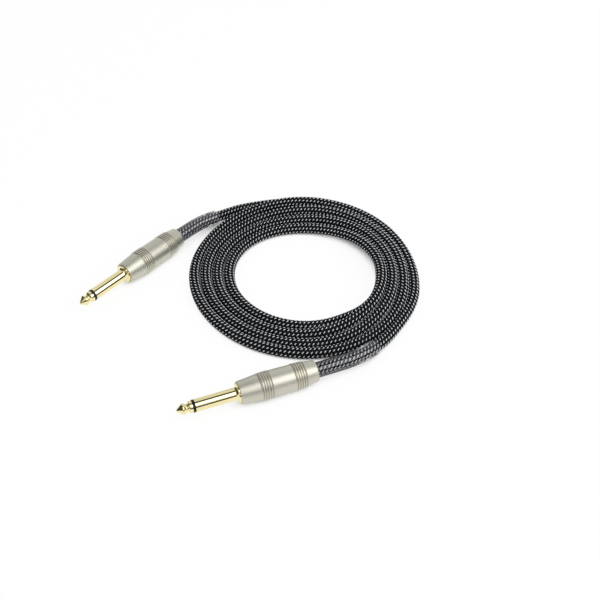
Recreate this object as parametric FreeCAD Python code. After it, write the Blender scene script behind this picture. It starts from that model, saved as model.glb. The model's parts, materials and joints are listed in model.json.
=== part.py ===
"""Instrument cable: a braided lead in a flat coil between two straight mono phone plugs.

Millimetres, +Z up. The cable lies on z = 0, and the origin is on that surface, under the middle
of the box round the two plugs. A plug is built along its own X axis: x = 0 is the rear end of
its barrel, where the cable leaves, and +X points to its tip.
"""
import FreeCAD, Part
import math
import os

V = FreeCAD.Vector

# The cable
cable_d = 5.8
floor_gap = 0.1
cable_z = cable_d / 2 + floor_gap

# Where each plug lies: the rear end of its barrel, and the way its cable leaves, in degrees
plug_a_rear = (-15.56, 62.4)
plug_a_heading = 49.1
plug_b_rear = (60.64, -38.35)
plug_b_heading = 21.2

# The coil: a flat spiral that winds inwards, then dives and crosses out under its own turns
coil_centre = (53.2, 32.7)
coil_outer_r = 60.2
turn_gap = 0.5
hump_gap = 0.8
first_hump_deg = 64.0
hump_step_deg = 334.0
places_per_hump = 4
crossed_turns = 4
dive_deg = 1380.0
under_deg = 1460.0
under_r = 50.0
under_slope = 14.0
leave_deg = 1537.0
leave_r = 65.6
leave_slope = 8.2
join_run_a = 10.0
join_run_b = 11.0

# The route of each lead, from behind its barrel to the last corner before the coil
lead_a_points = [(-9.7, 69.2, 7.0), (-0.8, 78.7, 6.4), (8.6, 87.6, 5.0), (18.6, 94.6, 3.5)]
lead_b_points = [(69.0, -35.1, 7.0), (80.0, -28.9, 6.4), (90.0, -21.2, 5.2), (98.4, -12.1, 3.8)]
corner_share = 0.45
shortest_run = 0.001

# How the route's least gap to itself is measured
gap_step = 1.5
gap_apart = 40.0

# The barrel, from its rear end to its mouth
barrel_len = 40.0
barrel_rear_r = 5.3
barrel_rear_round = 0.8
barrel_tail_len = 6.1
barrel_rear_rib_r = 6.25
barrel_waist_r = 6.5
barrel_band_r = 6.7
barrel_front_rib_r = 6.6
barrel_front_r = 5.7
barrel_nose_len = 10.2
barrel_mouth_chamfer = 0.25
rib_count = 5
rib_pitch = 1.22
rib_stand = 0.25
groove_depth = 0.35
groove_width = 0.6
neck_len = 6.5

# The thread between barrel and sleeve, drawn plain
thread_r = 4.75
thread_len = 7.2
thread_clearance = 0.06
cavity_r = 4.95

# The sleeve contact
sleeve_r = 3.175
sleeve_bore_r = 2.1
flange_r = 5.0
flange_len = 1.6
flange_stand = 0.8
flange_clearance = 0.15
cone_r = 4.0
cone_len = 0.9
notch_r = 0.5
notch_count = 4
notch_depth = 0.8
rivet_neck_r = 3.4
rivet_neck_len = 0.8

# The tip contact, from its point backwards
plug_reach = 31.0
point_r = 0.3
bead_r = 2.9
bead_at = 2.9
bead_land = 0.5
groove_at = 5.2
groove_r = 1.7
collar_at = 6.1
collar_r = 3.0
ring_at = 7.8
ring_len = 1.2
rod_r = 1.25
rod_clearance = 0.05

# Insulators and terminals behind the sleeve
tube_clearance = 0.05
washer_r = 2.75
washer_len = 1.2
lug_r = 2.6
lug_len = 0.6
lug_tab_len = 6.5
lug_tab_width = 2.4
rivet_head_r = 1.8
rivet_head_len = 0.6
tab_gap = 0.1
ground_ring_r = 4.05
fit_clearance = 0.03
strip_width = 3.6
strip_thick = 0.65
clamp_wall = 0.6
clamp_len = 5.5
clamp_mouth = 3.4
clamp_clearance = 0.05
strip_tail = 0.5

# The liner tube
liner_r = 4.6
liner_wall = 0.4
liner_end_gap = 0.2

# The stripped end of the cable
strip_len = 6.2
core_r = 1.1
conductor_r = 0.5
core_clearance = 0.03
conductor_len = 5.2
conductor_gap = 1.4
core_straight = 2.5
bend_run = 3.2
shield_r = 0.65
shield_len = 6.0
solder_r = 1.2
solder_back = 1.4

# The clear boots
boot_wall = 1.0
boot_clearance = 0.1
boot_in = 5.0
boot_a_out = 28.5
boot_b_out = 35.5
boot_rear_clearance = 0.25

# Places that follow from the sizes above
axis_z = barrel_band_r + rib_stand
boot_bore_r = cable_d / 2 + boot_clearance
boot_r = boot_bore_r + boot_wall
neck_r = boot_r + boot_rear_clearance
flange_back = barrel_len + flange_stand - flange_len
thread_back = flange_back - thread_len
sleeve_back = thread_back - rivet_neck_len
tip_x = barrel_len + plug_reach
ring_front = tip_x - ring_at
ring_back = ring_front - ring_len
washer_back = sleeve_back - washer_len
lug_back = washer_back - lug_len
rivet_back = lug_back - rivet_head_len
jacket_in = rivet_back - conductor_gap - conductor_len - strip_len
tab_z = rivet_head_r + tab_gap
clamp_r = cable_d / 2 + clamp_clearance
strip_z = -clamp_r
turn_pitch = cable_d + turn_gap
hump_height = cable_d + hump_gap
place_deg = hump_step_deg / places_per_hump


def revolved(outline):
    """The solid that an outline of (x, r) corners sweeps round the X axis."""
    corners = [V(x, 0, r) for x, r in outline]
    wire = Part.makePolygon(corners + [corners[0]])
    return Part.Face(wire).revolve(V(0, 0, 0), V(1, 0, 0), 360)


def round_bar(x_back, x_front, radius, z=0.0):
    """A solid bar along X."""
    return Part.makeCylinder(radius, x_front - x_back, V(x_back, 0, z), V(1, 0, 0))


def ring(x_back, x_front, outer_r, inner_r):
    """A round tube along X."""
    return revolved([(x_back, inner_r), (x_front, inner_r), (x_front, outer_r), (x_back, outer_r)])


def block(x_back, x_front, width, z_low, z_high):
    """A flat bar along X, centred on the axis."""
    return Part.makeBox(x_front - x_back, width, z_high - z_low, V(x_back, -width / 2, z_low))


# Routes

def arc_between(start, corner, end):
    """The arc that leaves start towards corner and arrives at end from it."""
    chord_middle = (start + end) * 0.5
    cosine = (end - start).Length / 2 / (corner - start).Length
    middle = chord_middle + (corner - chord_middle) * (cosine / (1 + cosine))
    return Part.Arc(start, middle, end).toShape()


def rounded_route(points, name):
    """Straight runs joined by tangent arcs, each as large as its shorter run allows."""
    edges = []
    here = points[0]
    for before, corner, after in zip(points, points[1:], points[2:]):
        way_in = (corner - before).normalize()
        way_out = (after - corner).normalize()
        turn = way_in.getAngle(way_out)
        reach = corner_share * min((corner - before).Length, (after - corner).Length)
        arc_start = corner - way_in * reach
        arc_end = corner + way_out * reach
        edges.append(Part.LineSegment(here, arc_start).toShape())
        edges.append(arc_between(arc_start, corner, arc_end))
        here = arc_end
        print(f"{name}: turn {math.degrees(turn):.1f} deg, radius {reach / math.tan(turn / 2):.1f} mm")
    edges.append(Part.LineSegment(here, points[-1]).toShape())
    return edges


def part_of_route(edges, start, end):
    """The stretch of a route between two lengths along it."""
    kept = []
    passed = 0.0
    for edge in edges:
        low = max(start - passed, 0.0)
        high = min(end - passed, edge.Length)
        if high - low > shortest_run:
            first = edge.getParameterByLength(low)
            last = edge.getParameterByLength(high)
            kept.append(edge.Curve.toShape(first, last))
        passed += edge.Length
    return kept


def swept(edges, radius):
    """A round bar along a route."""
    path = Part.Wire(edges)
    start = edges[0].valueAt(edges[0].FirstParameter)
    way = edges[0].tangentAt(edges[0].FirstParameter)
    section = Part.Wire(Part.Circle(start, way, radius).toShape())
    return path.makePipeShell([section], True, False)


def report_tube(name, solid, edges, radius):
    """Prints a tube's length, and its volume against its section times its length."""
    length = sum(edge.Length for edge in edges)
    share = solid.Volume / (math.pi * radius ** 2 * length)
    print(f"{name}: length {length:.1f} mm, volume over section times length {share:.4f}")


def biarc(start, start_way, end, end_way):
    """Two arcs that join two places with their directions, each with the same reach."""
    step = end - start
    both = start_way + end_way
    bend = 2 * (1 - start_way.dot(end_way))
    along = step.dot(both)
    reach = (math.sqrt(along ** 2 + bend * step.dot(step)) - along) / bend
    first_corner = start + start_way * reach
    last_corner = end - end_way * reach
    meet = (first_corner + last_corner) * 0.5
    return [arc_between(start, first_corner, meet), arc_between(meet, last_corner, end)]


def spiral_place(degrees, radius, slope, height):
    """A place on the coil, and the way the cable runs there, as the angle grows."""
    angle = math.radians(degrees)
    out = V(math.cos(angle), math.sin(angle), 0)
    round_way = V(-math.sin(angle), math.cos(angle), 0)
    place = V(coil_centre[0], coil_centre[1], height) + out * radius
    return place, (out * slope + round_way * radius).normalize()


def spiral_radius(degrees):
    return coil_outer_r - turn_pitch * degrees / 360


def coil_places():
    """Places round the coil: level turns, with a long low hump in each over the crossing."""
    inward = -turn_pitch / (2 * math.pi)
    places = []
    for i in range(-1, places_per_hump * crossed_turns):
        degrees = first_hump_deg + place_deg * i
        height = cable_z + (hump_height if i % places_per_hump == 0 else 0)
        places.append(spiral_place(degrees, spiral_radius(degrees), inward, height))
    places.append(spiral_place(dive_deg, spiral_radius(dive_deg), inward, cable_z))
    places.append(spiral_place(under_deg, under_r, under_slope, cable_z))
    places.append(spiral_place(leave_deg, leave_r, leave_slope, cable_z))
    return places


def coil_route():
    """The coil's centre line, with a straight end of one diameter at each end."""
    places = coil_places()
    edges = []
    for (start, start_way), (end, end_way) in zip(places, places[1:]):
        edges += biarc(start, start_way, end, end_way)
    first, first_way = places[0]
    last, last_way = places[-1]
    entry = Part.LineSegment(first - first_way * cable_d, first).toShape()
    leave = Part.LineSegment(last, last + last_way * cable_d).toShape()
    return [entry] + edges + [leave]


def least_gap(edges):
    """The least gap between two stretches of one tube that lie apart along it."""
    points = []
    for edge in edges:
        count = max(2, round(edge.Length / gap_step))
        points += edge.discretize(count + 1)[:-1]
    skip = round(gap_apart / gap_step)
    least = min(
        a.distanceToPoint(b) for i, a in enumerate(points) for b in points[i + skip:]
    )
    return least - cable_d


# The pieces of one plug, along its own X axis

def rib_group(x_back, r_back, r_front):
    """The outline along one group of grooves, whose ribs stand a little proud of the barrel."""
    outline = []
    for i in range(rib_count):
        share = (i + 0.5) / rib_count
        radius = r_back + (r_front - r_back) * share + rib_stand
        middle = x_back + rib_pitch * (i + 0.5)
        outline.append((middle - groove_width / 2, radius))
        outline.append((middle - groove_width / 4, radius - groove_depth))
        outline.append((middle + groove_width / 4, radius - groove_depth))
        outline.append((middle + groove_width / 2, radius))
    return outline


def barrel():
    """The screwed barrel: tapered nose and tail, two groups of grooves, bored for the liner."""
    rib_len = rib_count * rib_pitch
    front_rib_back = barrel_len - barrel_nose_len - rib_len
    outside = [(0, barrel_rear_r - barrel_rear_round), (barrel_rear_round, barrel_rear_r)]
    outside.append((barrel_tail_len, barrel_rear_rib_r))
    outside += rib_group(barrel_tail_len, barrel_rear_rib_r, barrel_waist_r)
    outside.append((barrel_tail_len + rib_len, barrel_waist_r))
    outside.append((front_rib_back, barrel_band_r))
    outside += rib_group(front_rib_back, barrel_band_r, barrel_front_rib_r)
    outside.append((barrel_len - barrel_nose_len, barrel_front_rib_r))
    outside.append((barrel_len - barrel_mouth_chamfer, barrel_front_r))
    mouth_r = flange_r + flange_clearance
    bore_r = thread_r + thread_clearance
    inside = [
        (barrel_len, mouth_r),
        (flange_back, mouth_r),
        (flange_back, bore_r),
        (thread_back, bore_r),
        (thread_back, cavity_r),
        (neck_len, cavity_r),
        (neck_len, neck_r),
        (0, neck_r),
    ]
    return revolved(outside + inside)


def sleeve_contact():
    """The sleeve with its flange, its threaded boss and the neck that carries the ground ring."""
    face = barrel_len + flange_stand
    body = revolved([
        (sleeve_back, sleeve_bore_r),
        (ring_back, sleeve_bore_r),
        (ring_back, sleeve_r),
        (face + cone_len, sleeve_r),
        (face, cone_r),
        (face, flange_r),
        (flange_back, flange_r),
        (flange_back, thread_r),
        (thread_back, thread_r),
        (thread_back, rivet_neck_r),
        (sleeve_back, rivet_neck_r),
    ])
    for i in range(notch_count):
        angle = 2 * math.pi * (i + 0.5) / notch_count
        centre = V(face - notch_depth, flange_r * math.cos(angle), flange_r * math.sin(angle))
        body = body.cut(Part.makeCylinder(notch_r, notch_depth, centre, V(1, 0, 0)))
    return body


def tip_contact():
    """The tip with its bead and groove, and the rod that runs back through the sleeve."""
    return revolved([
        (tip_x, 0),
        (tip_x, point_r),
        (tip_x - bead_at, bead_r),
        (tip_x - bead_at - bead_land, bead_r),
        (tip_x - groove_at, groove_r),
        (tip_x - collar_at, collar_r),
        (ring_front, collar_r),
        (ring_front, rod_r),
        (lug_back, rod_r),
        (lug_back, rivet_head_r),
        (rivet_back, rivet_head_r),
        (rivet_back, 0),
    ])


def ring_insulator():
    return ring(ring_back, ring_front, sleeve_r, rod_r + rod_clearance)


def inner_insulator():
    return ring(sleeve_back, ring_back, sleeve_bore_r - tube_clearance, rod_r + rod_clearance)


def rear_insulator():
    return ring(washer_back, sleeve_back, washer_r, rod_r + rod_clearance)


def tip_terminal():
    """The solder lug on the rod: a round plate with a tab along the top."""
    plate = ring(lug_back, washer_back, lug_r, rod_r + rod_clearance)
    tab = block(lug_back - lug_tab_len, washer_back, lug_tab_width, tab_z, tab_z + lug_len)
    return plate.fuse(tab).removeSplitter()


def ground_terminal():
    """The ground ring, its strip along the bottom and the clamp that grips the jacket."""
    clamp_back = jacket_in - clamp_len - strip_tail
    plate = ring(sleeve_back, thread_back, ground_ring_r, rivet_neck_r + fit_clearance)
    strip = block(clamp_back, thread_back, strip_width, strip_z - strip_thick, strip_z)
    strip = strip.cut(round_bar(sleeve_back, thread_back, rivet_neck_r + fit_clearance))
    strip = strip.cut(round_bar(clamp_back, clamp_back + clamp_len, clamp_r))
    claws = ring(clamp_back, clamp_back + clamp_len, clamp_r + clamp_wall, clamp_r)
    claws = claws.cut(block(clamp_back, clamp_back + clamp_len, clamp_mouth, 0, 2 * clamp_r))
    return plate.fuse([strip, claws]).removeSplitter()


def liner():
    front = thread_back - liner_end_gap
    return ring(neck_len + liner_end_gap, front, liner_r, liner_r - liner_wall)


def core_route():
    """The core leaves the jacket on the axis and climbs to lie under the lug's tab."""
    height = tab_z - conductor_r - core_clearance
    knee = jacket_in + core_straight
    points = [
        V(jacket_in, 0, 0),
        V(knee, 0, 0),
        V(knee + bend_run, 0, height),
        V(jacket_in + strip_len + conductor_len, 0, height),
    ]
    return rounded_route(points, "core")


def core_insulation(edges):
    sleeve_edges = part_of_route(edges, 0, strip_len)
    return swept(sleeve_edges, core_r).cut(swept(edges, conductor_r + core_clearance))


def shield_z():
    return strip_z + shield_r + core_clearance


def shield_tail():
    return round_bar(jacket_in, jacket_in + shield_len, shield_r, shield_z())


def solder_joints(conductor, tab, strip, shield):
    """A bead of solder under the lug's tab, and one where the shield lies on the strip."""
    tab_height = tab_z - conductor_r
    x_core = jacket_in + strip_len + conductor_len - solder_back
    x_shield = jacket_in + shield_len - solder_back
    core_joint = Part.makeSphere(solder_r, V(x_core, 0, tab_height)).cut(conductor).cut(tab)
    upper = block(x_core - solder_r, x_core + solder_r, 2 * solder_r, tab_z, 2 * tab_z)
    shield_joint = Part.makeSphere(solder_r, V(x_shield, 0, shield_z())).cut(shield)
    lower_z = strip_z - 2 * solder_r
    lower = block(x_shield - solder_r, x_shield + solder_r, 2 * solder_r, lower_z, strip_z)
    return Part.makeCompound([core_joint.cut(upper), shield_joint.cut(strip).cut(lower)])


def plug_pieces():
    """Every piece of one plug, by its node's name."""
    edges = core_route()
    conductor = swept(edges, conductor_r)
    lug = tip_terminal()
    ground = ground_terminal()
    shield = shield_tail()
    return {
        "tip_contact": tip_contact(),
        "ring_insulator": ring_insulator(),
        "inner_insulator": inner_insulator(),
        "sleeve_contact": sleeve_contact(),
        "rear_insulator": rear_insulator(),
        "tip_terminal": lug,
        "ground_terminal": ground,
        "liner_tube": liner(),
        "barrel": barrel(),
        "centre_conductor": conductor,
        "core_insulation": core_insulation(edges),
        "shield_tail": shield,
        "solder_joints": solder_joints(conductor, lug, ground, shield),
    }


# Placing

def way_of(heading):
    angle = math.radians(heading)
    return V(math.cos(angle), math.sin(angle), 0)


def placed(shape, rear, heading):
    """A plug's piece where the plug lies: its +X points against the cable's way out."""
    moved = shape.copy()
    turn = FreeCAD.Rotation(V(0, 0, 1), heading + 180)
    moved.Placement = FreeCAD.Placement(V(rear[0], rear[1], axis_z), turn)
    return moved


def lead_route(rear, heading, points, coil_end, coil_way, join_run, name):
    """From the jacket's stripped end inside the barrel to the coil's end face."""
    behind = V(rear[0], rear[1], axis_z)
    start = behind - way_of(heading) * jacket_in
    corners = [V(*point) for point in points]
    corners[0].z = axis_z
    return rounded_route([start] + corners + [coil_end + coil_way * join_run, coil_end], name)


def boot(edges, out):
    """The clear tube over the cable, from inside the barrel's neck."""
    stretch = part_of_route(edges, jacket_in - boot_in, jacket_in + out)
    return swept(stretch, boot_r).cut(swept(stretch, boot_bore_r))


def write(name, shape):
    shape.exportStep(f"parts/{name}.step")
    print(f"{name}: {len(shape.Solids)} solid, {shape.Volume:.1f} mm3, valid {shape.isValid()}")


def main():
    os.makedirs("parts", exist_ok=True)
    coil_edges = coil_route()
    coil = swept(coil_edges, cable_d / 2)
    report_tube("coil", coil, coil_edges, cable_d / 2)
    print(f"coil: least gap to itself {least_gap(coil_edges):.2f} mm")
    places = coil_places()
    first, first_way = places[0]
    last, last_way = places[-1]
    ends = {
        "a": (last + last_way * cable_d, last_way, join_run_a),
        "b": (first - first_way * cable_d, first_way * -1, join_run_b),
    }
    plugs = {
        "a": (plug_a_rear, plug_a_heading, lead_a_points, boot_a_out),
        "b": (plug_b_rear, plug_b_heading, lead_b_points, boot_b_out),
    }
    write("coil", coil)
    pieces = plug_pieces()
    for side, (rear, heading, points, boot_out) in plugs.items():
        for name, shape in pieces.items():
            write(f"{name}_{side}", placed(shape, rear, heading))
        end, way, join_run = ends[side]
        edges = lead_route(rear, heading, points, end, way, join_run, f"lead_{side}")
        lead = swept(edges, cable_d / 2)
        report_tube(f"lead_{side}", lead, edges, cable_d / 2)
        write(f"lead_{side}", lead)
        write(f"boot_{side}", boot(edges, boot_out))


main()
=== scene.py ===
import json
import math

import bmesh
import bpy
import numpy as np
from mathutils import Matrix, Vector


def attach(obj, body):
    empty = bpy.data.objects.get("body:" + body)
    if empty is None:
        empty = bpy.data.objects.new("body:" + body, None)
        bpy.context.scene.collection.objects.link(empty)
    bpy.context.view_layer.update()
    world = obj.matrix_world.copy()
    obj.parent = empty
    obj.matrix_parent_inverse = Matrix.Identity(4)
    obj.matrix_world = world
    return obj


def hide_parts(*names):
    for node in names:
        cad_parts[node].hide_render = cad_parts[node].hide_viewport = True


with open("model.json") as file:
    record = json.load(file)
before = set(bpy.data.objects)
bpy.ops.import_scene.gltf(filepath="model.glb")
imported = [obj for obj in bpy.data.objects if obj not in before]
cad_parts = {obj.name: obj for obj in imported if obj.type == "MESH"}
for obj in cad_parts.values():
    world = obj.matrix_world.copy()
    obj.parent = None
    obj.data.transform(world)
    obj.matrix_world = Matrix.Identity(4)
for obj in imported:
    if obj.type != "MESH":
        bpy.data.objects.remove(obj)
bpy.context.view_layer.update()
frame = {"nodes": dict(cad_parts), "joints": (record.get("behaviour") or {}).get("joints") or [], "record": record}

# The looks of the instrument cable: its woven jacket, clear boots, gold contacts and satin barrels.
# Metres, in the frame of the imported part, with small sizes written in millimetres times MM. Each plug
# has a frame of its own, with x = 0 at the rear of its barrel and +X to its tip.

MM = 0.001
UP = Vector((0, 0, 1))

# The camera of the photograph, and the point of the floor at the middle of its picture
CAMERA_TARGET = Vector((0.0529, 0.0187, 0))
CAMERA_ELEVATION = math.radians(44)
CAMERA_DISTANCE = 0.556
SENSOR_WIDTH = 36.0
LENS = 62.4
CLIP_START = 10 * MM

# The studio: its floor, how far and how soft the shadow on it is, its one lamp and its white sky.
# FILL is the level of the light that the sky throws, and gloss shows the sky darker by GLOSS_DIM.
FLOOR_HALF = 6.0
PAPER = 0.96
FLOOR_GLOW = 0.92
SHADOW_REACH = 12 * MM
SHADOW_FADE = (0.18, 0.45)
KEY_PLACE = (0.64, -0.28, 0.74)
KEY_AIM = (0.04, 0.02, 0.0)
KEY_SIZE = 1.0
KEY_POWER = 5.0
FILL = 0.78
GLOSS_DIM = 0.2

# The tent's dark gaps that polished metal shows, by the direction in which each fades in or out
GAP_DEPTH = 0.92
LOW_GAP_TOP = (0.34, 0.48)
LOW_GAP_BACK = (0.35, 0.6)
HIGH_GAP_FRONT = (-0.08, 0.06)
HIGH_GAP_BACK = (0.32, 0.46)
HIGH_GAP_LOW = (0.4, 0.5)
LEFT_GAP_RIGHT = (-0.75, -0.5)
LEFT_GAP_TOP = (0.65, 0.85)

# The cable's route: each lead from behind its barrel, and the coil between them. The turns lie on the
# floor but for humps over the crossing, which is given by an angle and a radius at each of its places.
JACKET_IN = 16 * MM
LEAD_A_POINTS = [
    (-0.0070, 0.0722, 0.0070),
    (0.0006, 0.0786, 0.0060),
    (0.0100, 0.0858, 0.0044),
    (0.0200, 0.0925, 0.0033),
]
LEAD_B_POINTS = [
    (0.0728, -0.0336, 0.0070),
    (0.0822, -0.0283, 0.0064),
    (0.0911, -0.0207, 0.0051),
    (0.0986, -0.0118, 0.0038),
]
FLOOR_Z = 3.05 * MM
COIL_CENTRE = (0.0532, 0.0327)
COIL_OUTER_R = 60.5 * MM
TURN_PITCH = 6.02 * MM
OVAL = 0.033
OVAL_DEG = -42.0
INNER_SHIFT = (1.0 * MM, 1.0 * MM)
COIL_START_DEG = -19.5
HUMP_DEG = 64.0
HUMP_STEP_DEG = 338.0
HUMP_FLAT_DEG = 14.0
HUMP_HALF_DEG = 98.0
HUMP_HEIGHT = 6.1 * MM
CROSSED_TURNS = 4
DIVE_DEG = 1367.0
CROSSING = [
    (1384, 37.9 * MM), (1399, 39.6 * MM), (1413, 41.0 * MM), (1427, 41.8 * MM), (1441, 42.8 * MM),
    (1455, 44.6 * MM), (1469, 47.6 * MM), (1483, 51.4 * MM), (1497, 55.4 * MM), (1511, 59.4 * MM),
    (1525, 62.7 * MM), (1538, 64.7 * MM),
]
POINTS_PER_TURN = 20
LINE_STEPS = 12

# The woven jacket: threads in two directions, of which every second one of the first set is white.
# A thread is seen where it comes up, in 8 rows along the cable, with the other set's rows between.
# The weave wanders a little round the cable, by waves of a share, a length and a start.
ROWS = 8
THREAD_PITCH = 1.1 * MM
LAY = 13.2 * MM
GROUND_R = 2.8 * MM
GROUND_RING = 0.8 * MM
GROUND_COLUMNS = 28
WANDER_DEG = 10.0
WANDER_WAVES = ((1.0, 61 * MM, 0.7), (0.6, 27 * MM, 2.1))
THREAD_TAPER = 0.3
THREAD_FOOT_R = 2.65 * MM
WHITE_HALF = (13.0, 0.41 * MM)
BLACK_HALF = (18.0, 0.52 * MM)
CROSS_HALF = (13.0, 0.50 * MM)
WHITE_TOP_R = 3.08 * MM
BLACK_TOP_R = 3.06 * MM
CROSS_TOP_R = 3.0 * MM

# The clear boots over the cable, and how much wider they press the white threads
BOOT_IN = 5 * MM
BOOT_OUT = {"a": 28.5 * MM, "b": 35.5 * MM}
BOOT_R = 3.97 * MM
BOOT_BORE_R = 3.16 * MM
BOOT_RIPPLE = 0.02 * MM
BOOT_WAVES = (1.7 * MM, 4.1 * MM)
BOOT_LIP = 0.25 * MM
BOOT_LIP_LEN = 0.5 * MM
BOOT_HAZE = {"a": 0.09, "b": 0.02}
BOOT_PRESS = 0.4
BOOT_COLUMNS = 64
BOOT_RING = 0.6 * MM

# How parts are turned: the rounding of a plain corner is in plain millimetres
LATHE_SEGMENTS = 144
CORNER_STEPS = 4
CORNER_SHARE = 0.45
EDGE = 0.12
JOIN_DIST = 0.0005 * MM

# The turned parts of a plug, in plain millimetres from the rear of its barrel. First the barrel.
BARREL_LEN = 40.0
REAR_R = 5.3
REAR_ROUND = 0.9
REAR_BORE = 4.25
TAIL_LEN = 6.1
REAR_RIB_R = 6.25
WAIST_R = 6.5
BAND_R = 6.7
FRONT_RIB_R = 6.6
FRONT_R = 5.7
NOSE_LEN = 10.2
MOUTH_R = 5.15
CAVITY_R = 4.95
LEAST_WALL = 0.5
NECK_LEN = 6.5
RIB_COUNT = 5
RIB_PITCH = 1.22
RIB_STAND = 0.25
RIBS_LEN = RIB_COUNT * RIB_PITCH
FRONT_RIBS = BARREL_LEN - NOSE_LEN - RIBS_LEN
GROOVE_DEPTH = 0.4
GROOVE_WIDTH = 0.62
GROOVE_ROUND = 0.1

# The sleeve, with its cone, flange, notches and threaded boss
SLEEVE_R = 3.175
SLEEVE_BORE = 2.1
SLEEVE_BACK = 31.2
RIVET_NECK_R = 3.4
CONE_R = 4.0
CONE_LEN = 0.9
FLANGE_R = 5.0
FLANGE_FACE = 40.8
FLANGE_BACK = 39.2
NOTCHES = 4
NOTCH_R = 0.5
NOTCH_BACK = 40.0
NOTCH_STEP = 0.02
NOTCH_FLOOR_R = 4.2
THREAD_R = 4.75
THREAD_BACK = 32.0
THREAD_PLAY = 0.06
SCREW_PITCH = 0.75
SCREW_DEPTH = 0.3
SCREW_STEPS = 8
SCREW_FLOOR_R = 4.65
SCREW_START = 32.2
SCREW_END = 38.8
SCREW_INSET = 0.05

# The ring, and the tip with its bead, waist and collar and its riveted rod
RING_BACK = 62.0
RING_FRONT = 63.2
COLLAR_X = 64.9
COLLAR_R = 3.0
TIP_WAIST_X = 65.8
TIP_WAIST_R = 1.7
BEAD_BACK = 67.6
BEAD_FRONT = 68.1
BEAD_R = 2.9
TIP_X = 71.0
POINT_R = 0.45
ROD_R = 1.25
ROD_PLAY = 0.05
RIVET_X = (28.8, 29.4)
RIVET_R = 1.8


def link(obj):
    bpy.context.scene.collection.objects.link(obj)
    return obj


# Shader maths

class Value:
    """A socket of a node. Python's operators on it add Math nodes."""

    def __init__(self, nodes, socket):
        self.nodes = nodes
        self.socket = socket

    def maths(self, operation, *inputs):
        return self.nodes.add("ShaderNodeMath", {"operation": operation}, list(inputs))

    def __add__(self, other):
        return self.maths("ADD", self, other)

    def __sub__(self, other):
        return self.maths("SUBTRACT", self, other)

    def __rsub__(self, other):
        return self.maths("SUBTRACT", other, self)

    def __mul__(self, other):
        return self.maths("MULTIPLY", self, other)

    __radd__ = __add__
    __rmul__ = __mul__

    def wave(self):
        """From 0 to 1 and back, once for each 1 that the value grows; 1 at whole numbers."""
        return self.maths("COSINE", self * (2 * math.pi)) * 0.5 + 0.5

    def over(self, low, high):
        """0 below low, 1 above high, and smooth between them."""
        ranged = {"Value": self, "From Min": low, "From Max": high}
        return self.nodes.add("ShaderNodeMapRange", {"interpolation_type": "SMOOTHSTEP"}, ranged)

    def larger(self, other):
        return self.maths("MAXIMUM", self, other)

    def smaller(self, other):
        return self.maths("MINIMUM", self, other)

    def axis(self, index):
        return self.nodes.add("ShaderNodeSeparateXYZ", {}, [self], index)


class Nodes:
    """The nodes of one finish, of the floor or of the world."""

    def __init__(self, tree):
        self.tree = tree
        tree.nodes.clear()

    def add(self, kind, settings=None, inputs=None, output=0):
        node = self.tree.nodes.new(kind)
        for name, setting in (settings or {}).items():
            setattr(node, name, setting)
        pairs = inputs.items() if isinstance(inputs, dict) else enumerate(inputs or [])
        for key, value in pairs:
            if isinstance(value, Value):
                self.tree.links.new(value.socket, node.inputs[key])
            else:
                node.inputs[key].default_value = value
        return Value(self, node.outputs[output]) if node.outputs else None

    def mix(self, share, low, high):
        """A colour between two colours."""
        return self.add("ShaderNodeMix", {"data_type": "RGBA"}, {0: share, 6: low, 7: high}, 2)

    def stretched(self, point, scale):
        return self.add("ShaderNodeVectorMath", {"operation": "MULTIPLY"}, [point, scale])

    def noise(self, point, scale, detail=2.0):
        return self.add("ShaderNodeTexNoise", {}, {"Vector": point, "Scale": scale, "Detail": detail})

    def place(self):
        return self.add("ShaderNodeTexCoord", {}, {}, 3)

    def unrolled(self):
        """The piece's own flat coordinates, in millimetres or in shares, as its maker wrote them."""
        return self.add("ShaderNodeUVMap", {"uv_map": "unrolled"})

    def bump(self, height, depth, strength=1.0):
        return self.add("ShaderNodeBump", {}, {"Height": height, "Distance": depth, "Strength": strength})

    def painted(self, name):
        """A number that the piece's maker wrote at each of its points."""
        return self.add("ShaderNodeAttribute", {"attribute_name": name}, {}, 2)

    def surface(self, **inputs):
        named = {name.replace("_", " "): value for name, value in inputs.items()}
        return self.add("ShaderNodeBsdfPrincipled", {}, named)

    def finish(self, shader):
        self.add("ShaderNodeOutputMaterial", {}, {"Surface": shader})


def material(name, paint):
    """A material with the nodes that paint adds."""
    made = bpy.data.materials.new(name)
    made.use_nodes = True
    paint(Nodes(made.node_tree))
    return made


def grey(level):
    return (level, level, level, 1.0)


# Finishes

def gold_plate(n):
    """Polished gold plate, with faint turning marks and slightly duller patches."""
    flat = n.unrolled()
    marks = n.noise(n.stretched(flat, (0.02, 3.0, 1.0)), 1.0, 2.0)
    patches = n.noise(n.place(), 180.0)
    n.finish(n.surface(
        Base_Color=n.mix(patches, (0.86, 0.76, 0.40, 1), (0.94, 0.86, 0.51, 1)),
        Metallic=1.0,
        Roughness=0.05 + 0.05 * patches,
        Normal=n.bump(marks, 0.001 * MM),
    ))


def satin_nickel(n):
    """Satin nickel with a warm grey cast: fine brushing round the barrel and softer patches."""
    flat = n.unrolled()
    brushing = n.noise(n.stretched(flat, (0.05, 5.0, 1.0)), 1.0, 3.0)
    patches = n.noise(n.place(), 90.0, 3.0)
    tone = patches * 0.5 + brushing * 0.5
    metal = n.mix(tone, (0.55, 0.54, 0.455, 1), (0.70, 0.69, 0.60, 1))
    n.finish(n.surface(
        # Painted shade: the colour goes half way to dark brown at the bottom of each groove.
        Base_Color=n.mix(n.painted("groove_shade") * 0.5, metal, (0.40, 0.31, 0.20, 1)),
        Metallic=1.0,
        Roughness=0.42 + 0.10 * brushing,
        Normal=n.bump(brushing, 0.004 * MM),
    ))


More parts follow.
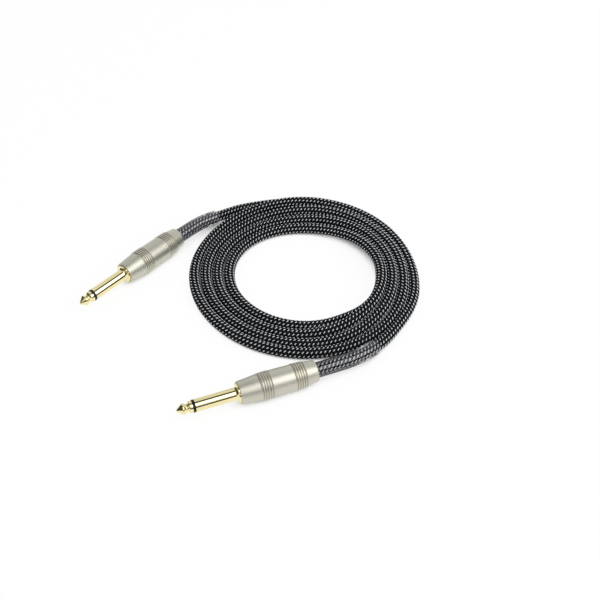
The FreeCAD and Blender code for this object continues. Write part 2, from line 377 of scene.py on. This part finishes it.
def black_plastic(n):
    """Glossy black moulding with a little waviness."""
    ripple = n.noise(n.place(), 600.0)
    n.finish(n.surface(
        Base_Color=n.mix(ripple, grey(0.004), grey(0.010)),
        Roughness=0.22 + 0.1 * ripple,
        Specular_IOR_Level=0.25,
        Normal=n.bump(ripple, 0.01 * MM),
    ))


def white_plastic(n):
    """Matt off-white moulding with a faint mottle."""
    mottle = n.noise(n.place(), 700.0, 3.0)
    n.finish(n.surface(
        Base_Color=n.mix(mottle, (0.70, 0.68, 0.62, 1), (0.80, 0.79, 0.74, 1)),
        Roughness=0.45 + 0.15 * mottle,
        Normal=n.bump(mottle, 0.02 * MM),
    ))


def tinned_brass(n):
    """Tin plate, duller where it was handled."""
    stains = n.noise(n.place(), 500.0, 4.0)
    n.finish(n.surface(
        Base_Color=n.mix(stains, (0.62, 0.60, 0.55, 1), (0.82, 0.82, 0.80, 1)),
        Metallic=1.0,
        Roughness=0.25 + 0.25 * stains,
        Normal=n.bump(stains, 0.02 * MM),
    ))


def liner_plastic(n):
    """Dark grey extruded tube with fine draw lines."""
    lines = n.noise(n.place(), 900.0, 2.0)
    n.finish(n.surface(
        Base_Color=n.mix(lines, grey(0.03), grey(0.055)),
        Roughness=0.4 + 0.15 * lines,
        Normal=n.bump(lines, 0.02 * MM),
    ))


def bare_copper(n):
    """Stranded copper, browner in its hollows."""
    strands = n.noise(n.place(), 1400.0, 2.0)
    n.finish(n.surface(
        Base_Color=n.mix(strands, (0.45, 0.18, 0.09, 1), (0.90, 0.50, 0.30, 1)),
        Metallic=1.0,
        Roughness=0.3 + 0.2 * strands,
        Normal=n.bump(strands, 0.05 * MM),
    ))


def core_plastic(n):
    """The core's milky insulation."""
    mottle = n.noise(n.place(), 800.0, 2.0)
    n.finish(n.surface(
        Base_Color=n.mix(mottle, (0.72, 0.72, 0.70, 1), (0.82, 0.82, 0.80, 1)),
        Roughness=0.35 + 0.15 * mottle,
        Normal=n.bump(mottle, 0.01 * MM),
    ))


def bright_solder(n):
    """Solder that froze with a slight grain."""
    grain = n.noise(n.place(), 1500.0, 4.0)
    n.finish(n.surface(
        Base_Color=n.mix(grain, grey(0.55), grey(0.78)),
        Metallic=1.0,
        Roughness=0.2 + 0.3 * grain,
        Normal=n.bump(grain, 0.03 * MM),
    ))


def jacket_ground(n):
    """The dark bottom of the weave, between the threads."""
    fuzz = n.noise(n.place(), 1500.0, 2.0)
    n.finish(n.surface(
        Base_Color=n.mix(fuzz, grey(0.002), grey(0.006)),
        Roughness=0.7 + 0.2 * fuzz,
        Specular_IOR_Level=0.05,
        Normal=n.bump(fuzz, 0.05 * MM),
    ))


def thread(n, crown, edge, shine):
    """A bundle of fine filaments, with painted shade towards its edges, where it dives beside its neighbours."""
    flat = n.unrolled()
    along, across = flat.axis(0), flat.axis(1)
    filaments = (across * 6 + n.noise(flat, 3.0) * 0.8).wave()
    off_middle = (across - 0.5).larger(0.5 - across) + (along - 0.5).larger(0.5 - along) * 0.4
    uneven = n.noise(n.place(), 250.0, 3.0)
    # Painted shade: away from the thread's middle the colour goes towards the edge colour.
    shade = off_middle.over(0.25, 0.75) * 0.8 + (1 - filaments) * 0.12 + uneven * 0.25 - 0.08
    n.finish(n.surface(
        Base_Color=n.mix(shade.larger(0.0).smaller(1.0), crown, edge),
        Roughness=0.5 + 0.2 * uneven,
        Specular_IOR_Level=shine,
        Normal=n.bump(filaments, 0.02 * MM, 0.6),
    ))


# Each thread's second colour is its own colour in painted shade, for its edges.
def white_thread(n):
    thread(n, (0.74, 0.77, 0.80, 1), (0.30, 0.31, 0.33, 1), 0.2)


def black_thread(n):
    thread(n, (0.009, 0.011, 0.014, 1), (0.001, 0.0015, 0.002, 1), 0.12)


def clear_tube(n):
    """Clear heat-shrunk tube: a violet-grey haze in the wall, and gloss that grows at a glancing look."""
    ripple = n.noise(n.place(), 260.0, 2.0)
    outside = n.painted("outside")
    uneven = n.bump(ripple, 0.025 * MM)
    see_through = n.add("ShaderNodeBsdfTransparent", {}, {"Color": (1.0, 1.0, 1.0, 1)})
    haze = n.surface(
        Base_Color=n.mix(ripple, (0.26, 0.23, 0.31, 1), (0.42, 0.39, 0.48, 1)),
        Roughness=0.4,
        Normal=uneven,
    )
    milky = (ripple.over(0.2, 0.8) * 0.6 + 0.7) * n.painted("haze")
    wall = n.add("ShaderNodeMixShader", {}, [milky, see_through, haze])
    gloss = n.surface(Base_Color=grey(0.95), Metallic=1.0, Roughness=0.1 + 0.06 * ripple, Normal=uneven)
    glancing = n.add("ShaderNodeFresnel", {}, {"IOR": 1.55, "Normal": uneven})
    n.finish(n.add("ShaderNodeMixShader", {}, [glancing * outside, wall, gloss]))


PAINTS = {
    "gold_plate": gold_plate,
    "satin_nickel": satin_nickel,
    "black_plastic": black_plastic,
    "white_plastic": white_plastic,
    "tinned_brass": tinned_brass,
    "liner_plastic": liner_plastic,
    "copper": bare_copper,
    "core_plastic": core_plastic,
    "solder": bright_solder,
    "woven_jacket": jacket_ground,
    "white_thread": white_thread,
    "black_thread": black_thread,
    "clear_boot": clear_tube,
}
finishes = {name: material(name, paint) for name, paint in PAINTS.items()}


# Meshes

def grid(rows, columns, close_rows=False):
    """Quads between rings of points, and each corner as a row and a column before it wraps."""
    last = rows if close_rows else rows - 1
    r, c = np.meshgrid(np.arange(last), np.arange(columns), indexing="ij")
    corner_r = np.stack([r, r + 1, r + 1, r], axis=-1).reshape(-1, 4)
    corner_c = np.stack([c, c, c + 1, c + 1], axis=-1).reshape(-1, 4)
    faces = (corner_r % rows) * columns + corner_c % columns
    return faces, corner_r, corner_c


def grid_patch(rows, columns):
    """Quads over an open patch of points, with the row and column of each corner."""
    r, c = (v.ravel() for v in np.meshgrid(np.arange(rows - 1), np.arange(columns - 1), indexing="ij"))
    corner_r = np.stack([r, r + 1, r + 1, r], axis=-1)
    corner_c = np.stack([c, c, c + 1, c + 1], axis=-1)
    return corner_r * columns + corner_c, corner_r, corner_c


def piece(name, points, faces, corner_uv, finish, body, shades=None):
    """An object from its points and quads, with its flat coordinates, riding on its body."""
    mesh = bpy.data.meshes.new(name)
    mesh.from_pydata(points.reshape(-1, 3), [], faces)
    layer = mesh.uv_layers.new(name="unrolled")
    flat = np.zeros((len(mesh.loops), 2), np.float32)
    flat[:len(corner_uv)] = corner_uv
    layer.data.foreach_set("uv", flat.ravel())
    for shade_name, values in (shades or {}).items():
        mesh.attributes.new(shade_name, "FLOAT", "POINT").data.foreach_set("value", values.ravel())
    mesh.shade_smooth()
    mesh.materials.append(finishes[finish])
    obj = link(bpy.data.objects.new(name, mesh))
    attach(obj, body)
    return obj


def tidy_mesh(obj):
    """Joins points that meet on the axis and turns every face outwards."""
    work = bmesh.new()
    work.from_mesh(obj.data)
    bmesh.ops.remove_doubles(work, verts=work.verts, dist=JOIN_DIST)
    bmesh.ops.recalc_face_normals(work, faces=work.faces)
    work.to_mesh(obj.data)
    work.free()
    obj.modifiers.new("flat faces", "WEIGHTED_NORMAL")


def rounded(corners, closed):
    """An outline of (x, r, rounding) corners, each turned into a small curve."""
    places = [np.array(corner[:2], float) for corner in corners]
    outline = []
    for i, corner in enumerate(corners):
        here = places[i]
        if not closed and i in (0, len(corners) - 1):
            outline.append(here)
            continue
        before = places[i - 1] - here
        after = places[(i + 1) % len(places)] - here
        size = corner[2] if len(corner) > 2 else EDGE
        reach = min(size, CORNER_SHARE * np.linalg.norm(before), CORNER_SHARE * np.linalg.norm(after))
        start = here + before / np.linalg.norm(before) * reach
        end = here + after / np.linalg.norm(after) * reach
        for t in np.linspace(0, 1, CORNER_STEPS + 1):
            outline.append(start * (1 - t) ** 2 + here * 2 * t * (1 - t) + end * t ** 2)
    return np.array(outline)


def plug_frame(side):
    """Where a plug lies: at the rear of its barrel, +X to its tip, +Z up."""
    turning = next(j for j in frame["joints"] if j["name"] == f"barrel_{side}_unscrew")
    forward = -Vector(turning["axis"])
    placed = Matrix((forward, UP.cross(forward), UP)).transposed().to_4x4()
    placed.translation = Vector(turning["pos_m"])
    return placed


def turned(name, corners, side, finish, node, body="root", closed=True, shape=None, shade=None):
    """A piece turned on a lathe, from its outline in millimetres, in place of its CAD node."""
    outline = rounded(corners, closed)
    angles = np.linspace(0, 2 * math.pi, LATHE_SEGMENTS, endpoint=False)
    x = np.repeat(outline[:, :1], LATHE_SEGMENTS, axis=1)
    r = np.repeat(outline[:, 1:], LATHE_SEGMENTS, axis=1)
    if shape:
        r = shape(x, r, angles[None, :])
    shades = {"groove_shade": shade(x, r)} if shade else {}
    points = np.stack([x, r * np.cos(angles), r * np.sin(angles)], axis=-1) * MM
    placed = np.array(plug_frame(side))
    points = points @ placed[:3, :3].T + placed[:3, 3]
    faces, corner_r, corner_c = grid(len(outline), LATHE_SEGMENTS, close_rows=closed)
    run = np.concatenate([[0], np.cumsum(np.linalg.norm(np.diff(outline, axis=0), axis=1))])
    run = np.append(run, run[-1])
    girth = 2 * math.pi * outline[:, 1].max() / LATHE_SEGMENTS
    corner_uv = np.stack([corner_c * girth, run[corner_r]], axis=-1).reshape(-1, 2)
    obj = piece(f"{name}_{side}", points, faces, corner_uv, finish, body, shades)
    tidy_mesh(obj)
    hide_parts(f"{node}_{side}")


# The turned parts of a plug

def groove_group(start, r_back, r_front):
    """The outline along one group of grooves, whose ribs stand a little proud."""
    corners = []
    for i in range(RIB_COUNT):
        radius = r_back + (r_front - r_back) * (i + 0.5) / RIB_COUNT + RIB_STAND
        middle = start + RIB_PITCH * (i + 0.5)
        for share, depth in ((-0.5, 0.0), (-0.25, GROOVE_DEPTH), (0.25, GROOVE_DEPTH), (0.5, 0.0)):
            corners.append((middle + share * GROOVE_WIDTH, radius - depth, GROOVE_ROUND))
    return corners


def groove_shade_mask(x, r):
    """1 at a groove's bottom, which gets painted shade, darker and browner, and 0 elsewhere on the barrel."""
    rear_base = REAR_RIB_R + (WAIST_R - REAR_RIB_R) * (x - TAIL_LEN) / RIBS_LEN
    front_base = BAND_R + (FRONT_RIB_R - BAND_R) * (x - FRONT_RIBS) / RIBS_LEN
    in_rear = (x > TAIL_LEN) & (x < TAIL_LEN + RIBS_LEN) & (r < rear_base)
    in_front = (x > FRONT_RIBS) & (x < FRONT_RIBS + RIBS_LEN) & (r < front_base)
    return ((in_rear | in_front) & (r > CAVITY_R + LEAST_WALL)).astype(np.float32)


def barrel(side):
    """The screwed barrel, with its two groups of grooves and a plain band between them."""
    bore = THREAD_R + THREAD_PLAY
    corners = [(0, REAR_BORE, 0.3), (0, REAR_R, REAR_ROUND), (TAIL_LEN, REAR_RIB_R, 0.2)]
    corners += groove_group(TAIL_LEN, REAR_RIB_R, WAIST_R)
    corners += [(TAIL_LEN + RIBS_LEN, WAIST_R, 0.2), (FRONT_RIBS, BAND_R, 0.2)]
    corners += groove_group(FRONT_RIBS, BAND_R, FRONT_RIB_R)
    corners += [
        (BARREL_LEN - NOSE_LEN, FRONT_RIB_R, 0.2),
        (BARREL_LEN, FRONT_R, 0.35),
        (BARREL_LEN, MOUTH_R, 0.1),
        (FLANGE_BACK, MOUTH_R, 0.05),
        (FLANGE_BACK, bore, 0.05),
        (THREAD_BACK, bore, 0.05),
        (THREAD_BACK, CAVITY_R, 0.05),
        (NECK_LEN, CAVITY_R, 0.3),
        (NECK_LEN, REAR_BORE, 0.1),
    ]
    body = f"barrel_{side}"
    turned("barrel_shell", corners, side, "satin_nickel", "barrel", body=body, shade=groove_shade_mask)


def cut_screw_and_notches(x, r, angle):
    """The screw thread on the boss and the small notches round the flange."""
    depth = np.abs((x / SCREW_PITCH + angle / (2 * math.pi)) % 1 - 0.5) * 2
    on_boss = (x > SCREW_START) & (x < SCREW_END) & (r > SCREW_FLOOR_R)
    r = np.where(on_boss, THREAD_R - SCREW_DEPTH * depth, r)
    from_notch = (angle * NOTCHES / (2 * math.pi) % 1 - 0.5) * 2 * math.pi / NOTCHES
    off = np.abs(np.sin(from_notch)) * FLANGE_R
    bite = np.sqrt(np.maximum(NOTCH_R ** 2 - off ** 2, 0.0))
    return np.where((x > NOTCH_BACK) & (r > NOTCH_FLOOR_R), np.minimum(r, FLANGE_R - bite), r)


def sleeve(side):
    """The sleeve with its cone, flange and threaded boss."""
    turns = np.arange(SCREW_START + SCREW_INSET, SCREW_END - SCREW_INSET, SCREW_PITCH / SCREW_STEPS)
    boss = [(x, THREAD_R, 0.0) for x in turns[::-1]]
    corners = [
        (RING_BACK, SLEEVE_BORE),
        (RING_BACK, SLEEVE_R, 0.15),
        (FLANGE_FACE + CONE_LEN, SLEEVE_R, 0.3),
        (FLANGE_FACE, CONE_R, 0.15),
        (FLANGE_FACE, FLANGE_R, 0.2),
        (NOTCH_BACK + NOTCH_STEP, FLANGE_R, NOTCH_STEP / 2),
        (NOTCH_BACK - NOTCH_STEP, FLANGE_R, NOTCH_STEP / 2),
        (FLANGE_BACK, FLANGE_R, 0.15),
        (FLANGE_BACK, THREAD_R, 0.1),
    ]
    corners += boss
    corners += [
        (THREAD_BACK, THREAD_R, 0.15),
        (THREAD_BACK, RIVET_NECK_R, 0.1),
        (SLEEVE_BACK, RIVET_NECK_R),
        (SLEEVE_BACK, SLEEVE_BORE),
    ]
    turned("sleeve_shell", corners, side, "gold_plate", "sleeve_contact", shape=cut_screw_and_notches)


def tip(side):
    """The tip, with its bead, waist and collar, and its rod riveted over at the back."""
    corners = [
        (TIP_X, 0),
        (TIP_X, POINT_R, 0.4),
        (BEAD_FRONT, BEAD_R, 0.5),
        (BEAD_BACK, BEAD_R, 0.4),
        (TIP_WAIST_X, TIP_WAIST_R, 0.9),
        (COLLAR_X, COLLAR_R, 0.35),
        (RING_FRONT, COLLAR_R, 0.15),
        (RING_FRONT, ROD_R, 0.05),
        (RIVET_X[1], ROD_R, 0.05),
        (RIVET_X[1], RIVET_R, 0.1),
        (RIVET_X[0], RIVET_R, 0.25),
        (RIVET_X[0], 0),
    ]
    turned("tip_shell", corners, side, "gold_plate", "tip_contact", closed=False)


def black_ring(side):
    """The insulating ring between tip and sleeve."""
    corners = [
        (RING_BACK, ROD_R + ROD_PLAY),
        (RING_FRONT, ROD_R + ROD_PLAY),
        (RING_FRONT, SLEEVE_R, 0.15),
        (RING_BACK, SLEEVE_R, 0.1),
    ]
    turned("ring_shell", corners, side, "black_plastic", "ring_insulator")


# The cable's line

def hump(degrees):
    """How high the coil stands at an angle: it passes over the crossing once in each turn."""
    height = 0.0
    for i in range(CROSSED_TURNS):
        away = abs(degrees - HUMP_DEG - i * HUMP_STEP_DEG)
        if away < HUMP_HALF_DEG:
            down = max(0.0, away - HUMP_FLAT_DEG) / (HUMP_HALF_DEG - HUMP_FLAT_DEG)
            height = max(height, 0.5 + 0.5 * math.cos(math.pi * down))
    return HUMP_HEIGHT * height


def coil_place(degrees, radius, height):
    """A place on the coil, whose turns are a little oval and whose inner ones lie a little aside."""
    angle = math.radians(degrees)
    radius *= 1 + OVAL * math.cos(2 * (angle - math.radians(OVAL_DEG)))
    inner = min(degrees, DIVE_DEG) / DIVE_DEG
    return (
        COIL_CENTRE[0] + INNER_SHIFT[0] * inner + radius * math.cos(angle),
        COIL_CENTRE[1] + INNER_SHIFT[1] * inner + radius * math.sin(angle),
        height,
    )


def coil_points():
    """The turns wind inwards, then the cable dives and crosses out under them."""
    step = 360 / POINTS_PER_TURN
    outset = 1 / math.cos(math.radians(step / 2))
    points = []
    for degrees in np.arange(COIL_START_DEG, DIVE_DEG + 1, step):
        radius = (COIL_OUTER_R - TURN_PITCH * degrees / 360) * outset
        points.append(coil_place(degrees, radius, FLOOR_Z + hump(degrees)))
    return points + [coil_place(degrees, radius, FLOOR_Z) for degrees, radius in CROSSING]


def jacket_end(side):
    """Where the jacket is stripped back, inside the barrel."""
    return tuple(plug_frame(side) @ Vector((JACKET_IN, 0, 0)))


def cable_line():
    """The cable's smooth line, from plug b to plug a, as points read from one NURBS curve."""
    points = [jacket_end("b"), *LEAD_B_POINTS, *coil_points(), *reversed(LEAD_A_POINTS), jacket_end("a")]
    curve = bpy.data.curves.new("cable line", "CURVE")
    curve.dimensions = "3D"
    curve.resolution_u = LINE_STEPS
    spline = curve.splines.new("NURBS")
    spline.points.add(len(points) - 1)
    for point, place in zip(spline.points, points):
        point.co = (*place, 1.0)
    spline.order_u = 3
    spline.use_endpoint_u = True
    holder = link(bpy.data.objects.new("cable line", curve))
    line_mesh = bpy.data.meshes.new_from_object(holder)
    line = np.array([vertex.co for vertex in line_mesh.vertices])
    bpy.data.objects.remove(holder)
    bpy.data.meshes.remove(line_mesh)
    return line


class Cable:
    """The cable's line, evenly divided, with the ways up and sideways at each place."""

    def __init__(self, line):
        reach = np.concatenate([[0], np.cumsum(np.linalg.norm(np.diff(line, axis=0), axis=1))])
        self.length = reach[-1]
        self.count = int(round(self.length / GROUND_RING)) + 1
        self.at = np.linspace(0, self.length, self.count)
        self.middle = np.stack([np.interp(self.at, reach, line[:, k]) for k in range(3)], axis=1)
        way = np.gradient(self.middle, axis=0)
        way /= np.linalg.norm(way, axis=1)[:, None]
        side = np.cross(np.array(UP), way)
        side /= np.linalg.norm(side, axis=1)[:, None]
        self.side = side
        self.over = np.cross(way, side)
        self.twist = math.radians(WANDER_DEG) * sum(
            share * np.sin(self.at / length + start) for share, length, start in WANDER_WAVES
        )

    def place(self, at, angle, radius):
        """Points on or about the cable, from the length along it, the angle round it and the radius."""
        def read(values):
            return np.stack([np.interp(at, self.at, values[:, k]) for k in range(3)], axis=-1)
        angle = angle + np.interp(at, self.at, self.twist)
        out = read(self.over) * np.cos(angle)[..., None] + read(self.side) * np.sin(angle)[..., None]
        return read(self.middle) + out * np.asarray(radius)[..., None]


def jacket(cable):
    """The bottom of the jacket's weave, one closed tube along the whole cable."""
    around = np.arange(GROUND_COLUMNS) / GROUND_COLUMNS
    at, turns = np.meshgrid(cable.at, around, indexing="ij")
    points = cable.place(at, turns * 2 * math.pi, np.full(at.shape, GROUND_R))
    faces, corner_r, corner_c = grid(cable.count, GROUND_COLUMNS)
    corner_uv = np.stack([corner_c / GROUND_COLUMNS, cable.at[corner_r] / MM], axis=-1).reshape(-1, 2)
    first_cap = list(range(GROUND_COLUMNS))
    last_cap = [cable.count * GROUND_COLUMNS - 1 - i for i in range(GROUND_COLUMNS)]
    all_faces = faces.tolist() + [first_cap, last_cap]
    obj = piece("jacket", points, all_faces, corner_uv, "woven_jacket", "root")
    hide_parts("coil", "lead_a", "lead_b")
    return obj


def under_boots(cable, at):
    """1 where a boot covers the cable, and 0 elsewhere."""
    back = cable.length - at
    under_b = (at > JACKET_IN - BOOT_IN) & (at < JACKET_IN + BOOT_OUT["b"])
    under_a = (back > JACKET_IN - BOOT_IN) & (back < JACKET_IN + BOOT_OUT["a"])
    return (under_b | under_a).astype(float)


def threads(cable, name, finish, half, top_r, along, pitch, offset, lean=1, turn_offset=0.0, press=0.0):
    """One set of threads where they come up: a pillow for each place, its edges in the ground."""
    half_deg, half_width = half
    row, start = np.meshgrid(np.arange(ROWS), np.arange(1, int(cable.length / pitch) - 1), indexing="ij")
    middle_turn = (row.ravel() + turn_offset) / ROWS
    middle_at = start.ravel() * pitch + (lean * LAY * middle_turn + offset) % pitch
    across = np.linspace(-1, 1, len(along) - 1)
    swell = np.sqrt(1 - across ** 2)
    crown = np.sqrt(1 - along ** 2)
    wider = 1 + press * under_boots(cable, middle_at)[:, None]
    width = wider * half_width * (1 - THREAD_TAPER * along ** 2)
    reach = wider * along * half_deg / 360
    shape = (len(middle_at), len(along), len(across))
    turns = np.broadcast_to((middle_turn[:, None] + reach)[:, :, None], shape)
    at = (middle_at[:, None] + lean * LAY * reach)[:, :, None] + width[:, :, None] * across
    radius = THREAD_FOOT_R + (top_r - THREAD_FOOT_R) * crown[:, None] * swell
    points = cable.place(at, turns * 2 * math.pi, np.broadcast_to(radius, shape))
    faces, corner_r, corner_c = grid_patch(len(along), len(across))
    if lean > 0:
        faces, corner_r, corner_c = faces[:, ::-1], corner_r[:, ::-1], corner_c[:, ::-1]
    first = np.arange(len(middle_at)) * len(along) * len(across)
    all_faces = (faces[None] + first[:, None, None]).reshape(-1, 4)
    corner_uv = np.stack([along[corner_r], across[corner_c]], axis=-1).reshape(-1, 2) / 2 + 0.5
    corner_uv = np.tile(corner_uv, (len(middle_at), 1))
    return piece(name, points, all_faces, corner_uv, finish, "root")


def woven_threads(cable):
    """The white threads, the black ones between them, and the black ones that cross them."""
    fine = np.array([-1.0, -0.6, 0.0, 0.6, 1.0])
    plain = np.array([-1.0, -0.4, 0.4, 1.0])
    pair = 2 * THREAD_PITCH
    return [
        threads(
            cable, "white_threads", "white_thread", WHITE_HALF, WHITE_TOP_R, fine, pair, 0.0,
            press=BOOT_PRESS,
        ),
        threads(cable, "black_threads", "black_thread", BLACK_HALF, BLACK_TOP_R, plain, pair, THREAD_PITCH),
        threads(
            cable, "cross_threads", "black_thread", CROSS_HALF, CROSS_TOP_R, plain, THREAD_PITCH, 0.0,
            lean=-1, turn_offset=0.5,
        ),
    ]


def boot(cable, side):
    """The clear tube shrunk over the cable behind a barrel, rounded at its cut ends."""
    start, end = JACKET_IN - BOOT_IN, JACKET_IN + BOOT_OUT[side]
    if side == "a":
        start, end = cable.length - end, cable.length - start
    ends = np.linspace(start, end, int((end - start) / BOOT_RING))
    ripple = sum(BOOT_RIPPLE * np.sin(ends / wave) for wave in BOOT_WAVES)
    closing = BOOT_LIP * np.exp(-np.minimum(ends - start, end - ends) / BOOT_LIP_LEN)
    outer = BOOT_R + ripple - closing
    inner = np.full(len(ends), BOOT_BORE_R)
    at = np.concatenate([ends, ends[::-1]])
    radius = np.concatenate([outer, inner])
    around = np.arange(BOOT_COLUMNS) / BOOT_COLUMNS * 2 * math.pi
    at_grid, angle = np.meshgrid(at, around, indexing="ij")
    points = cable.place(at_grid, angle, np.repeat(radius[:, None], BOOT_COLUMNS, axis=1))
    faces, corner_r, corner_c = grid(len(at), BOOT_COLUMNS, close_rows=True)
    corner_uv = np.stack([corner_c / BOOT_COLUMNS, corner_r * BOOT_RING / MM], axis=-1).reshape(-1, 2)
    outside = np.repeat(np.concatenate([np.ones(len(ends)), np.zeros(len(ends))]), BOOT_COLUMNS)
    shades = {"outside": outside, "haze": outside * BOOT_HAZE[side]}
    obj = piece(f"clear_boot_{side}", points, faces, corner_uv, "clear_boot", "root", shades)
    tidy_mesh(obj)
    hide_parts(f"boot_{side}")
    return obj


def dress_inner_nodes():
    """The pieces inside the plugs keep their CAD shape and get their finish."""
    slots = {row["node"]: row["material_slot"] for row in frame["record"]["subparts"]}
    for name, obj in frame["nodes"].items():
        obj.data.materials.clear()
        obj.data.materials.append(finishes[slots[name]])


# The studio

def floor():
    """A white sheet that runs on to the horizon and keeps a faint shadow."""
    mesh = bpy.data.meshes.new("studio floor")
    corners = [(x * FLOOR_HALF, y * FLOOR_HALF, 0) for x, y in ((-1, -1), (1, -1), (1, 1), (-1, 1))]
    mesh.from_pydata(corners, [], [(0, 1, 2, 3)])
    mesh.materials.append(material("studio floor", white_sheet))
    link(bpy.data.objects.new("studio_floor", mesh))


def white_sheet(n):
    """Paper that is white to the camera, but for the shadow close to the object."""
    paper = n.add("ShaderNodeBsdfDiffuse", {}, {"Color": grey(PAPER)})
    glow = n.add("ShaderNodeEmission", {}, {"Color": grey(1.0), "Strength": 1.0})
    open_sky = n.add("ShaderNodeAmbientOcclusion", {"samples": 8}, {"Distance": SHADOW_REACH}, 1)
    bright = seen_rays(n) * FLOOR_GLOW * open_sky.over(*SHADOW_FADE)
    n.finish(n.add("ShaderNodeMixShader", {}, [bright, paper, glow]))


def rays(n, kind):
    """1 for rays of a kind: Camera, Glossy or Transmission."""
    return Value(n, n.add("ShaderNodeLightPath").socket.node.outputs[f"Is {kind} Ray"])


def seen_rays(n):
    """1 for what the camera sees, by itself or in metal or glass."""
    return rays(n, "Camera").larger(rays(n, "Glossy")).larger(rays(n, "Transmission"))


def sky():
    """White all round. Polished metal also shows the tent's gaps: overhead, low in front, at the left."""
    world = bpy.data.worlds.new("studio")
    world.use_nodes = True
    bpy.context.scene.world = world
    n = Nodes(world.node_tree)
    way = n.add("ShaderNodeTexCoord", {}, {}, 0)
    right, back, up = way.axis(0), way.axis(1), way.axis(2)
    low_gap = (1 - up.over(*LOW_GAP_TOP)) * (1 - back.over(*LOW_GAP_BACK))
    high_gap = back.over(*HIGH_GAP_FRONT) * (1 - back.over(*HIGH_GAP_BACK)) * up.over(*HIGH_GAP_LOW)
    left_gap = (1 - right.over(*LEFT_GAP_RIGHT)) * (1 - up.over(*LEFT_GAP_TOP))
    gaps = low_gap.larger(high_gap).larger(left_gap)
    glossy = rays(n, "Glossy")
    seen = seen_rays(n)
    level = seen * (1 - glossy * GLOSS_DIM) + (1 - seen) * FILL
    shade = level * (1 - glossy * gaps * GAP_DEPTH)
    background = n.add("ShaderNodeBackground", {}, {"Color": grey(1.0), "Strength": shade})
    n.add("ShaderNodeOutputWorld", {}, {"Surface": background})


def key_box():
    """A round soft box, high at the right and in front."""
    data = bpy.data.lights.new("key box", "AREA")
    data.shape = "DISK"
    data.size = KEY_SIZE
    data.energy = KEY_POWER
    obj = link(bpy.data.objects.new("key box", data))
    obj.location = KEY_PLACE
    obj.rotation_euler = (Vector(KEY_AIM) - Vector(KEY_PLACE)).to_track_quat("-Z", "Y").to_euler()
    obj.visible_camera = False


def camera():
    """The camera, in the photographer's place."""
    data = bpy.data.cameras.new("camera")
    data.sensor_width = SENSOR_WIDTH
    data.lens = LENS
    data.clip_start = CLIP_START
    obj = link(bpy.data.objects.new("camera", data))
    back = Vector((0, -math.cos(CAMERA_ELEVATION), math.sin(CAMERA_ELEVATION)))
    obj.location = CAMERA_TARGET + back * CAMERA_DISTANCE
    obj.rotation_euler = (math.pi / 2 - CAMERA_ELEVATION, 0, 0)
    bpy.context.scene.camera = obj


def studio():
    bpy.context.scene.view_settings.view_transform = "Standard"
    camera()
    floor()
    sky()
    key_box()


# The whole

studio()
dress_inner_nodes()
cable = Cable(cable_line())
for plug in "ab":
    barrel(plug)
    sleeve(plug)
    tip(plug)
    black_ring(plug)
cord = jacket(cable)
on_cord = [*woven_threads(cable), boot(cable, "a"), boot(cable, "b")]
exit_b = tuple(plug_frame("b").translation)
